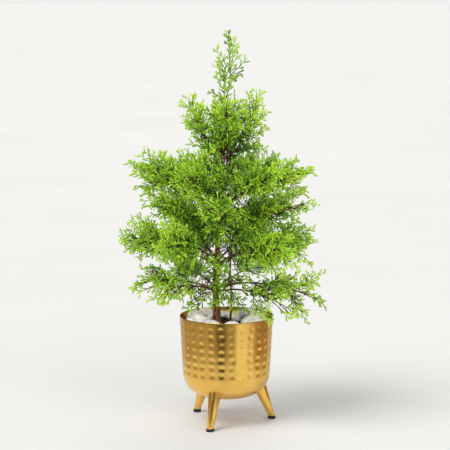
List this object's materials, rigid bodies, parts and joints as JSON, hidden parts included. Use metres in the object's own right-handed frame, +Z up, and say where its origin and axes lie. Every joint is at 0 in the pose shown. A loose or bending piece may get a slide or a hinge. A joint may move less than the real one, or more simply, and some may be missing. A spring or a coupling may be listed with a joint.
{
  "type": "potted cypress",
  "caption": "Young golden cypress with flat sprays of scale leaves, in a round hammered gold metal planter on splayed tapered legs, topped with white pebbles.",
  "frame": {"origin": "on the surface that the planter's feet stand on, below the middle of the crown's spread; the planter's own axis stands 7.5 mm to +X of it", "axes": "+Z up along the trunk, -Y towards the front of the plant, +X to the right as seen from the front"},
  "size_m": [0.3318, 0.304, 0.629],
  "materials": {
    "planter_metal": "satin",
    "foot_rubber": "matte",
    "potting_mix": "matte",
    "pebble": "satin",
    "bark": "matte",
    "foliage": "satin"
  },
  "bodies": {
    "root": {"bough_middle_front_left": "bark", "bough_middle_front_right": "bark", "bough_middle_left": "bark", "bough_middle_rear_left": "bark", "bough_middle_rear_right": "bark", "bough_middle_right": "bark", "bough_shoulder_front_left": "bark", "bough_shoulder_front_right": "bark", "bough_shoulder_left": "bark", "bough_shoulder_rear_left": "bark", "bough_shoulder_rear_right": "bark", "bough_shoulder_right": "bark", "bough_skirt_front_left": "bark", "bough_skirt_front_right": "bark", "bough_skirt_left": "bark", "bough_skirt_rear_left": "bark", "bough_skirt_rear_right": "bark", "bough_skirt_right": "bark", "flank_front_left": "foliage", "flank_front_right": "foliage", "flank_left": "foliage", "flank_rear_left": "foliage", "flank_rear_right": "foliage", "flank_right": "foliage", "leader": "foliage", "leg_front": "planter_metal", "leg_rear": "planter_metal", "leg_right": "planter_metal", "middle_front_left": "foliage", "middle_front_right": "foliage", "middle_left": "foliage", "middle_rear_left": "foliage", "middle_rear_right": "foliage", "middle_right": "foliage", "pad_front": "foot_rubber", "pad_rear": "foot_rubber", "pad_right": "foot_rubber", "pebbles": "pebble", "planter_pot": "planter_metal", "second_stem": "bark", "second_tuft": "foliage", "shoulder_front_left": "foliage", "shoulder_front_right": "foliage", "shoulder_left": "foliage", "shoulder_rear_left": "foliage", "shoulder_rear_right": "foliage", "shoulder_right": "foliage", "skirt_front_left": "foliage", "skirt_front_right": "foliage", "skirt_left": "foliage", "skirt_rear_left": "foliage", "skirt_rear_right": "foliage", "skirt_right": "foliage", "soil": "potting_mix", "trunk": "bark", "upper_back": "foliage", "upper_front": "foliage", "upper_left": "foliage", "upper_right": "foliage"}
  },
  "joints": []
}
